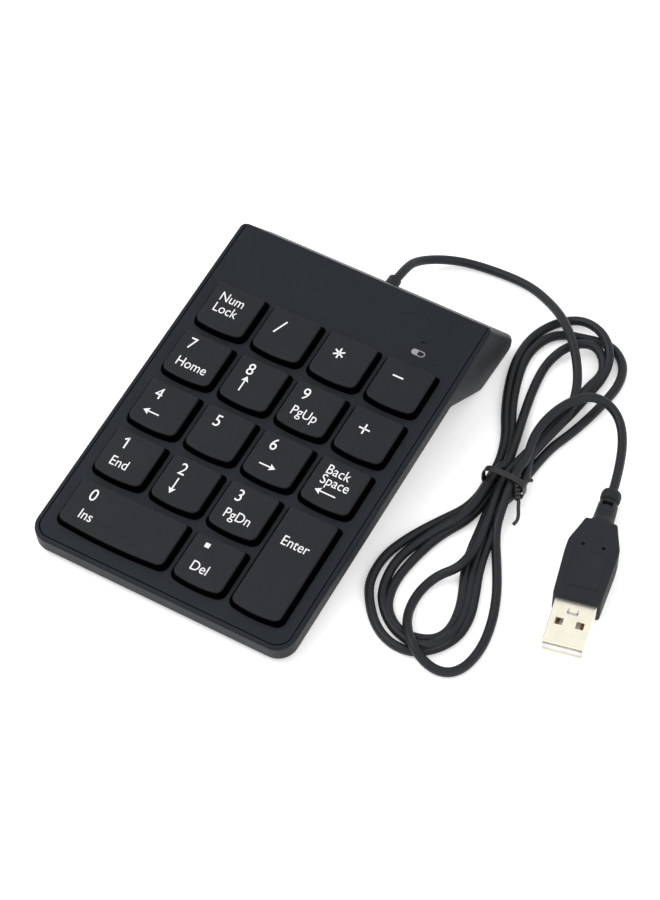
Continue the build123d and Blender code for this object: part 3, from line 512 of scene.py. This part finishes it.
def moulded(name, dark, light, rough, grain, depth):
    """Matt grained plastic. Returns the finish, its colour, roughness and bump."""
    finish = Finish(name, Specular_IOR_Level=0.18, Specular_Tint=(0.82, 0.88, 1.0, 1.0))
    wide = finish.noise(22 * MM, 3)
    pebble = finish.noise(grain * MM, 3, 0.62)
    smear = finish.step(finish.noise(11 * MM, 4, 0.6), 0.45, 0.75)
    dust = finish.step(finish.noise(0.42 * MM, 1), 0.735, 0.765)
    colour = finish.mix(wide, dark, light)
    colour = finish.mix(dust * 0.25, colour, grey(0.12))
    roughness = rough + pebble * 0.10 - smear * 0.07 + wide * 0.04
    return finish, colour, roughness, finish.bump(pebble, depth * MM, 0.8)


finish, colour, roughness, bump = moulded(
    "case_plastic", grey(0.0080, -0.20), grey(0.0120, -0.18), 0.40, 0.30, 0.035)
CASE_FINISH = finish.wear(Base_Color=colour, Roughness=roughness, Normal=bump)

finish, colour, roughness, bump = moulded(
    "inner_plastic", grey(0.010, -0.04), grey(0.016, -0.04), 0.5, 0.5, 0.03)
INNER_FINISH = finish.wear(Base_Color=colour, Roughness=roughness, Normal=bump)

# %% [markdown]
# A keycap has a fine satin grain on its top. Its skirt is painted near black, so that it reads
# as a black line: painted shade that stands in for the shadow in the narrow gap round each key.
# A metallic share on black takes away the skirt's last reflection. The keys lie on a plane
# tipped eight degrees, so a point's height over that plane is a plain sum of its coordinates,
# and a smooth step over it tells the top from the skirt.

# %% Keycap finish
KEY_RISE = 2.6

finish, colour, roughness, bump = moulded(
    "keycap_plastic", grey(0.0095, -0.10), grey(0.0135, -0.06), 0.40, 0.24, 0.03)
height = height_over_panel(finish)
panel = (Z_SHIFT * cos(TILT) - Y_SHIFT * sin(TILT)) * MM
top = finish.step(height, panel + (KEY_RISE - 0.70) * MM, panel + (KEY_RISE - 0.40) * MM)
# Painted shade: below the step the skirt gets a near-black metallic colour in place of the gap's
# shadow.
KEY_FINISH_WITH_PAINTED_SHADE = finish.wear(
    Base_Color=finish.mix(top, grey(0.0015), colour), Metallic=1 - top,
    Roughness=roughness * top + (1 - top) * 0.85, Normal=bump)

# %% [markdown]
# The other CAD pieces show only at edges, through gaps or from below, and each still has its own
# make: rubber that is dull and pitted, zinc-plated screws, silicone, printed film and a green
# laminate. Small metal parts get fine drawn lines along one axis.

# %% Finishes of the small parts
def metal(name, colour, rough, stretch):
    """Bare metal with fine drawn lines across the stretch."""
    finish = Finish(name, Metallic=1.0)
    drawn = finish.node("ShaderNodeMapping", {}, {"Vector": finish.place, "Scale": stretch})
    lines = finish.noise(0.4 * MM, 3, 0.6, drawn)
    tarnish = finish.noise(3 * MM, 3)
    worn = tuple(c * 0.82 for c in colour[:3]) + (1,)
    return finish.wear(Base_Color=finish.mix(tarnish, colour, worn),
                       Roughness=rough + lines * 0.10 + tarnish * 0.08,
                       Normal=finish.bump(lines, 0.01 * MM, 0.5))


def soft(name, dark, light, rough, grain, depth, **constants):
    """Rubber, film, laminate and such: mottled and finely pitted."""
    finish = Finish(name, **constants)
    mottle = finish.noise(4 * MM, 3)
    pitted = finish.noise(grain * MM, 3)
    return finish.wear(Base_Color=finish.mix(mottle, dark, light),
                       Roughness=rough + mottle * 0.12, Normal=finish.bump(pitted, depth * MM, 0.8))


SHELL_FINISH = metal("shell_metal", (1.0, 0.95, 0.80, 1), 0.24, (1, 6, 1))
STEEL_FINISH = metal("screw_steel", (0.58, 0.58, 0.60, 1), 0.25, (1, 1, 8))
GOLD_FINISH = metal("contact_metal", (0.95, 0.68, 0.28, 1), 0.2, (8, 1, 1))
TIN_FINISH = metal("component_metal", (0.66, 0.66, 0.64, 1), 0.35, (1, 1, 4))
FOOT_FINISH = soft("foot_rubber", grey(0.010), grey(0.020), 0.75, 0.3, 0.05)
DOME_FINISH = soft("dome_silicone", grey(0.35), grey(0.45), 0.45, 0.4, 0.02, Transmission_Weight=0.2)
FILM_FINISH = soft("membrane_film", (0.55, 0.60, 0.62, 1), (0.65, 0.68, 0.68, 1), 0.25, 1.0, 0.01)
BOARD_FINISH = soft("board_laminate", (0.02, 0.12, 0.05, 1), (0.03, 0.17, 0.07, 1), 0.35, 0.5, 0.02)
CHIP_FINISH = soft("chip_body", grey(0.012), grey(0.022), 0.5, 0.2, 0.02)
LAMP_FINISH = soft("lamp_lens", (0.05, 0.07, 0.05, 1), (0.08, 0.10, 0.08, 1), 0.2, 0.5, 0.01)
SOCKET_FINISH = soft("connector_plastic", grey(0.62, 0.05), grey(0.72, 0.05), 0.45, 0.4, 0.02)
WIRE_FINISH = soft("wire_sleeve", (0.30, 0.02, 0.02, 1), (0.40, 0.03, 0.03, 1), 0.4, 0.4, 0.02)
TONGUE_FINISH = soft("tongue_plastic", grey(0.70, 0.01), grey(0.80, 0.01), 0.4, 0.3, 0.02)

# %% [markdown]
# Every CAD node has a material slot already. A table of node names says which finish goes in it,
# and the keys and domes follow from the start of their names.

# %% Dress the CAD nodes
DRESS = {
    "bottom_case": CASE_FINISH, "top_cover": CASE_FINISH, "rubber_feet": FOOT_FINISH,
    "case_screws": STEEL_FINISH, "membrane_bottom": FILM_FINISH, "membrane_spacer": FILM_FINISH,
    "membrane_top": FILM_FINISH, "circuit_board": BOARD_FINISH, "clamp_bar": INNER_FINISH,
    "board_screws": STEEL_FINISH, "controller_chip": CHIP_FINISH, "board_components": TIN_FINISH,
    "indicator_lamp": LAMP_FINISH, "wire_connector": SOCKET_FINISH, "lead_wires": WIRE_FINISH,
    "cable_grommet": CORD_FINISH, "usb_shell": SHELL_FINISH, "usb_tongue": TONGUE_FINISH,
    "usb_contacts": GOLD_FINISH}
for name, node in nodes.items():
    finish = DRESS.get(name)
    if name.startswith("key_"):
        finish = KEY_FINISH_WITH_PAINTED_SHADE
    elif name.startswith("dome_"):
        finish = DOME_FINISH
    for slot in node.material_slots:
        slot.material = finish or slot.material
print("dressed", len(DRESS), "case and plug nodes, 18 keys and 18 domes")

# %% [markdown]
# The shell has a small latch mark by the grip. Three thin strips, barely raised, read as a tab
# cut and pressed in sheet metal.

# %% Marks on the shell
SHELL_TOP = 2.25
marks = bmesh.new()
for x, y, long, wide in ((44.4, 0.0, 0.9, 3.2), (43.6, -1.35, 1.5, 0.5), (43.6, 1.35, 1.5, 0.5)):
    made = bmesh.ops.create_cube(marks, size=1)["verts"]
    size = Matrix.Diagonal((long * MM, wide * MM, 0.05 * MM, 1))
    bmesh.ops.transform(marks, verts=made,
                        matrix=Matrix.Translation(Vector((x, y, SHELL_TOP)) * MM) @ size)
finished("shell_marks", marks, STEEL_FINISH, "housing", 30, PLUG_TURN)

# %% [markdown]
# Legends are printed in white ink. A Text curve is made a mesh first and then laid on its key
# with a matrix, so its object stays at the origin. Sizes are capital heights, and a legend's
# place is its left edge and its baseline from the middle of its key.

# %% Ink
printed = Finish("legend_ink", Specular_IOR_Level=0.35)
blotch = printed.noise(0.5 * MM, 3)
INK_FINISH = printed.wear(
    Base_Color=printed.mix(blotch, grey(0.68), grey(0.80)),
    Roughness=0.5 + blotch * 0.15, Normal=printed.bump(blotch, 0.01 * MM, 0.5))

# %% Places on the keys
PITCH = 19.0
FRONT_ROW = 14.9
FIRST_COLUMN = -28.5
INK_LIFT = 0.015


def key_place(column, row):
    """Matrix from a key's own plane to the frame; the key's middle is its origin."""
    middle = Vector((FIRST_COLUMN + PITCH * column, FRONT_ROW + PITCH * row, KEY_RISE + INK_LIFT))
    return plate_place(middle)


def plate_place(spot):
    """Matrix that lays a flat drawing in mm on the tipped panel."""
    shift = Matrix.Translation(Vector((0, Y_SHIFT, Z_SHIFT)) * MM)
    return shift @ Matrix.Rotation(TILT, 4, "X") @ Matrix.Translation(spot * MM)


def flat_mesh(curve):
    """Mesh of a flat curve, which is then removed."""
    holder = bpy.data.objects.new("drawing", curve)
    bpy.context.scene.collection.objects.link(holder)
    bpy.context.view_layer.update()
    graph = bpy.context.evaluated_depsgraph_get()
    mesh = bpy.data.meshes.new_from_object(holder.evaluated_get(graph))
    bpy.data.objects.remove(holder)
    return mesh


def face_up(shape):
    """Turn every face of a flat drawing upwards."""
    for face in shape.faces:
        if face.normal.z < 0:
            face.normal_flip()


def lettering(text, height, left, base, narrow=0.88):
    """Flat letters as a bmesh, in metres, by capital height, left edge and baseline in mm."""
    curve = bpy.data.curves.new("lettering", "FONT")
    curve.body = text
    curve.size = 1
    curve.resolution_u = 4
    mesh = flat_mesh(curve)
    low = min(v.co.x for v in mesh.vertices)
    shape = bmesh.new()
    shape.from_mesh(mesh)
    scale = height * MM / CAPITAL
    bmesh.ops.translate(shape, vec=(-low, 0, 0), verts=shape.verts)
    bmesh.ops.scale(shape, vec=(scale * narrow, scale, scale), verts=shape.verts)
    bmesh.ops.translate(shape, vec=(left * MM, base * MM, 0), verts=shape.verts)
    return shape


probe = bpy.data.curves.new("probe", "FONT")
probe.body = "H"
CAPITAL = max(v.co.y for v in flat_mesh(probe).vertices)
print("capital height of the built-in face at size 1:", round(CAPITAL, 3))


# %% [markdown]
# Arrows and signs are drawn from thin bars, because a printed arrow has one even stroke. Each
# bar is a plane with a length and a turn, and a triangle closes the head.

# %% Signs
STROKE = 0.5


def stroke(shape, start, end, width=STROKE):
    """Flat bar between two places in mm."""
    a, b = Vector(start), Vector(end)
    made = bmesh.ops.create_grid(shape, x_segments=1, y_segments=1, size=0.5)["verts"]
    run = b - a
    size = Matrix.Diagonal((run.length * MM, width * MM, 1, 1))
    turn = Matrix.Rotation(run.angle_signed(Vector((1, 0))), 4, "Z")
    spot = Matrix.Translation(((a + b) / 2 * MM).to_3d())
    bmesh.ops.transform(shape, matrix=spot @ turn @ size, verts=made)


def arrow(tail, tip):
    """Thin arrow with a barbed head, from tail to tip in mm."""
    shape = bmesh.new()
    tail, tip = Vector(tail), Vector(tip)
    way = (tip - tail).normalized()
    side = Vector((-way.y, way.x))
    neck = tip - way * 1.9
    stroke(shape, tail, neck + way * 0.3, 0.42)
    corners = (tip, neck + side * 1.15, neck + way * 0.35, neck - side * 1.15)
    shape.faces.new([shape.verts.new((c.x * MM, c.y * MM, 0)) for c in corners])
    return shape


def signs(*bars):
    """Drawing of even strokes, each a start and an end in mm."""
    shape = bmesh.new()
    for start, end in bars:
        stroke(shape, start, end)
    return shape


# %% [markdown]
# One table holds every key: its column and row, its words, and its signs. Most keys have a
# numeral above and a word or an arrow below, set from the left edge.

# %% Legends
NUMERAL = 3.85
WORD = 3.1
LEGENDS = {
    "key_num_lock": (0, 4, [("Num", WORD, -4.8, 1.3), ("Lock", WORD, -4.8, -2.8)], []),
    "key_divide": (1, 4, [], [signs(((-3.8, -1.3), (-1.7, 3.5)))]),
    "key_multiply": (2, 4, [], [signs(*[
        ((-1.95 - 1.8 * cos(a), 1.0 - 1.8 * sin(a)), (-1.95 + 1.8 * cos(a), 1.0 + 1.8 * sin(a)))
        for a in (pi / 2, pi / 6, -pi / 6)])]),
    "key_minus": (3, 4, [], [signs(((-3.5, 1.7), (-0.1, 1.7)))]),
    "key_7": (0, 3, [("7", NUMERAL, -4.8, 1.4), ("Home", WORD, -4.8, -4.9)], []),
    "key_8": (1, 3, [("8", NUMERAL, -4.0, 1.5)], [arrow((-2.55, -4.5), (-2.55, 0.9))]),
    "key_9": (2, 3, [("9", NUMERAL, -4.5, 1.5), ("PgUp", WORD, -4.5, -4.3)], []),
    "key_plus": (3, 3, [], [signs(((-3.5, 0.8), (0.0, 0.8)), ((-1.75, -0.95), (-1.75, 2.55)))]),
    "key_4": (0, 2, [("4", NUMERAL, -4.5, 1.2)], [arrow((0.4, -3.5), (-4.8, -3.5))]),
    "key_5": (1, 2, [("5", NUMERAL, -3.5, 1.0)], []),
    "key_6": (2, 2, [("6", NUMERAL, -4.1, 1.6)], [arrow((-3.9, -3.7), (1.4, -3.7))]),
    "key_backspace": (3, 2, [("Back", WORD, -4.5, 2.1), ("Space", WORD, -4.6, -1.4)],
                      [arrow((2.1, -3.9), (-4.6, -3.9))]),
    "key_1": (0, 1, [("End", WORD, -4.1, -4.8)],
              [signs(((-2.95, 1.4), (-2.95, 5.25)), ((-2.85, 5.1), (-4.05, 4.25)))]),
    "key_2": (1, 1, [("2", NUMERAL, -4.0, 1.4)], [arrow((-2.55, 0.2), (-2.55, -5.3))]),
    "key_3": (2, 1, [("3", NUMERAL, -4.1, 1.4), ("PgDn", WORD, -4.3, -4.6)], []),
    "key_enter": (3, 0.5, [("Enter", WORD, -4.3, 4.6)], []),
    "key_0": (0.5, 0, [("0", NUMERAL, -12.7, 1.3), ("Ins", WORD, -12.1, -5.0)], []),
    "key_decimal": (2, 0, [("Del", WORD, -3.9, -4.6)],
                    [signs(((-3.8, 4.1), (-2.3, 4.1)), ((-3.8, 3.6), (-2.3, 3.6)),
                           ((-3.8, 4.6), (-2.3, 4.6)))])}

for key, (column, row, words, drawings) in LEGENDS.items():
    print_run = bmesh.new()
    for drawing in [lettering(*word) for word in words] + drawings:
        page = bpy.data.meshes.new("page")
        drawing.to_mesh(page)
        drawing.free()
        print_run.from_mesh(page)
    face_up(print_run)
    finished("legend_" + key[4:], print_run, INK_FINISH, key[4:] + "_key",
             35, key_place(column, row), outward=False)

# %% [markdown]
# Beside the lamp is a plain capsule sign, its left half filled. A flat curve with a hole in it
# gives that shape: an outer capsule, and an inner half capsule that stays open.

# %% Sign by the lamp
def capsule_run(half_length, radius, left=None, steps=12):
    """Outline of a capsule, or of its part to the right of a line."""
    right = [((half_length - radius) + radius * sin(pi * n / steps), radius * cos(pi * n / steps))
             for n in range(steps + 1)]
    if left is not None:
        return right + [(left, -radius), (left, radius)]
    return right + [(-x, -y) for x, y in right]


sign = bpy.data.curves.new("lamp_sign", "CURVE")
sign.dimensions = "2D"
sign.fill_mode = "BOTH"
for run in (capsule_run(2.15, 1.0), capsule_run(1.85, 0.72, -0.1)):
    spline = sign.splines.new("POLY")
    spline.points.add(len(run) - 1)
    for point, (x, y) in zip(spline.points, run):
        point.co = (x * MM, y * MM, 0, 1)
    spline.use_cyclic_u = True
sign_shape = bmesh.new()
sign_shape.from_mesh(flat_mesh(sign))
faded = Finish("lamp_sign_ink", Specular_IOR_Level=0.35)
speck = faded.noise(0.4 * MM, 2)
SIGN_FINISH = faded.wear(
    Base_Color=faded.mix(speck, grey(0.20), grey(0.30)), Roughness=0.5 + speck * 0.1)
face_up(sign_shape)
finished("lamp_sign", sign_shape, SIGN_FINISH, "housing", 35,
         plate_place(Vector((27.0, 103.9, INK_LIFT))), outward=False)

# %% [markdown]
# The set is a pale table under soft light. A white sky and a faintly glowing table light
# everything evenly and leave a faint shadow under each strand. A large lamp to the upper left
# gives the plastic its sheen, and a weak one from the right keeps the near walls readable.

# %% Table
table_shape = bmesh.new()
bmesh.ops.create_grid(table_shape, x_segments=1, y_segments=1, size=2.5)
table_mesh = bpy.data.meshes.new("table_top")
table_shape.to_mesh(table_mesh)
table_shape.free()
table_top = bpy.data.objects.new("table_top", table_mesh)
bpy.context.scene.collection.objects.link(table_top)
paper = Finish("table_paper", Specular_IOR_Level=0.2, Emission_Color=(1, 1, 1, 1),
               Emission_Strength=0.3)
fibre = paper.noise(1.5 * MM, 3)
table_mesh.materials.append(paper.wear(
    Base_Color=paper.mix(fibre, grey(0.90), grey(0.93)), Roughness=0.7 + fibre * 0.1))

# %% Lights
def lamp(name, place, aim, size, power):
    data = bpy.data.lights.new(name, "AREA")
    data.size = size
    data.energy = power
    made = bpy.data.objects.new(name, data)
    made.rotation_mode = "QUATERNION"
    made.location = place
    made.rotation_quaternion = (Vector(aim) - Vector(place)).to_track_quat("-Z", "Y")
    bpy.context.scene.collection.objects.link(made)


world = bpy.data.worlds.new("white_studio")
world.use_nodes = True
world.node_tree.nodes["Background"].inputs["Color"].default_value = (1, 1, 1, 1)
world.node_tree.nodes["Background"].inputs["Strength"].default_value = 1.0
bpy.context.scene.world = world
lamp("upper_left", (-0.7, -0.25, 1.1), (0, 0, 0), 0.9, 7)
lamp("right_fill", (0.9, -0.5, 0.7), (0, 0, 0), 0.8, 3)
bpy.context.scene.view_settings.view_transform = "Standard"
